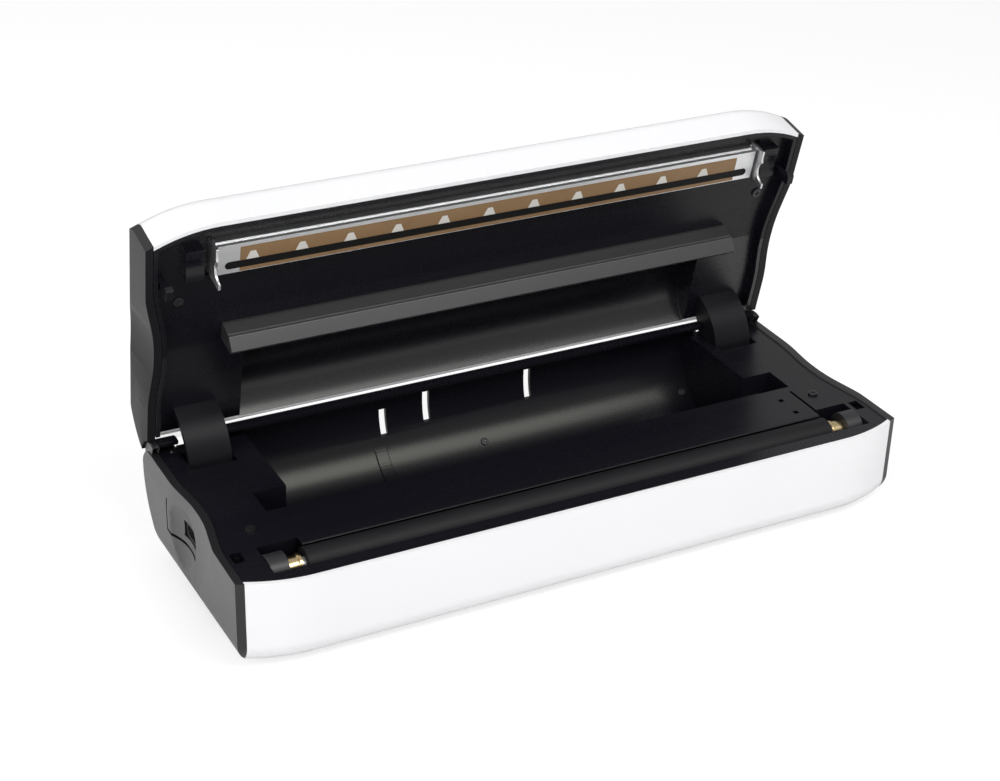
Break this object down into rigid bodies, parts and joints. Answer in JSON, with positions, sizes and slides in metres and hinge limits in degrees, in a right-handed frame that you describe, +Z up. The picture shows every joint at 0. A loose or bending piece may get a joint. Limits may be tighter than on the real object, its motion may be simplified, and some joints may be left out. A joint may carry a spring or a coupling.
{
  "type": "vacuum sealer",
  "caption": "Countertop vacuum sealer with its lid raised: white shells, dark waisted end caps, a bag-roll trough, a pressure roller, a heating bar and latches.",
  "frame": {"origin": "centre of the bounding box at floor level, with the lid raised", "axes": "+X to the right end of the machine seen from the front, +Y to the rear, +Z up"},
  "size_m": [0.3894, 0.1686, 0.1999],
  "materials": {
    "white_shell": "smooth gloss white moulding",
    "end_cap": "satin dark grey moulding",
    "inner_panel": "semi-gloss black moulding",
    "black_plastic": "satin black moulding",
    "black_rubber": "soft matte black rubber",
    "steel": "plain bright steel",
    "screw_steel": "black-finished steel",
    "brass": "turned brass",
    "aluminium": "bright extruded aluminium",
    "heater_film": "black coated heating strip",
    "glass_tape": "brown woven glass tape",
    "console": "gloss dark grey moulding",
    "button": "satin grey moulding",
    "circuit_board": "green laminate",
    "iron_core": "varnished iron laminations"
  },
  "bodies": {
    "base": {"base_cover": "white_shell", "base_end_cap_left": "end_cap", "base_end_cap_right": "end_cap", "base_inner_panel": "inner_panel", "power_inlet": "black_plastic", "inlet_pins": "brass", "brass_bush_left": "brass", "brass_bush_right": "brass", "roller_bearing_left": "black_plastic", "roller_bearing_right": "black_plastic", "hinge_pin_left": "screw_steel", "hinge_pin_right": "screw_steel", "transformer": "iron_core", "power_board": "circuit_board", "pump_motor": "steel", "motor_saddle": "black_plastic", "air_pump": "black_plastic", "air_hose": "black_rubber", "deck_screws": "screw_steel", "rubber_feet": "black_rubber"},
    "lid": {"lid_cover": "white_shell", "lid_end_cap_left": "end_cap", "lid_end_cap_right": "end_cap", "lid_inner_panel": "inner_panel", "heating_bar": "aluminium", "heating_strip": "heater_film", "insulating_tape": "glass_tape", "bar_end_plate_left": "steel", "bar_end_plate_right": "steel", "film_guide_rail": "inner_panel", "hinge_arm_left": "black_plastic", "hinge_arm_right": "black_plastic", "latch_hook_left": "black_plastic", "latch_hook_right": "black_plastic", "lid_screws": "screw_steel", "control_bezel": "console", "control_board": "circuit_board"},
    "pressure_roller": {"roller_core": "steel", "roller_sleeve": "black_rubber"},
    "latch_left": {"latch_catch_left": "black_plastic"},
    "latch_right": {"latch_catch_right": "black_plastic"},
    "seal_button": {"seal_button": "button"},
    "vacuum_button": {"vacuum_button": "button"},
    "stop_button": {"stop_button": "button"}
  },
  "joints": [
    {"name": "lid_hinge", "type": "hinge", "parent": "base", "child": "lid", "pos_m": [0, 0.05971, 0.05521], "axis": [1, 0, 0], "range_deg": [0, 77.6]},
    {"name": "roller_spin", "type": "hinge", "parent": "base", "child": "pressure_roller", "pos_m": [0.003, -0.05887, 0.043], "axis": [1, 0, 0], "continuous": true},
    {"name": "latch_left_slide", "type": "slide", "parent": "base", "child": "latch_left", "axis": [0, 0.9983, 0.0589], "range_m": [0, 0.0035]},
    {"name": "latch_right_slide", "type": "slide", "parent": "base", "child": "latch_right", "axis": [0, 0.9983, 0.0589], "range_m": [0, 0.0035]},
    {"name": "seal_press", "type": "slide", "parent": "lid", "child": "seal_button", "axis": [0, -0.9623, -0.2719], "range_m": [0, 0.0008], "stiffness_N_per_m": 2500},
    {"name": "vacuum_press", "type": "slide", "parent": "lid", "child": "vacuum_button", "axis": [0, -0.9623, -0.2719], "range_m": [0, 0.0008], "stiffness_N_per_m": 2500},
    {"name": "stop_press", "type": "slide", "parent": "lid", "child": "stop_button", "axis": [0, -0.9623, -0.2719], "range_m": [0, 0.0008], "stiffness_N_per_m": 2500}
  ],
  "couplings": [
    {"joint": "latch_right_slide", "follows": "latch_left_slide", "ratio": 1}
  ]
}
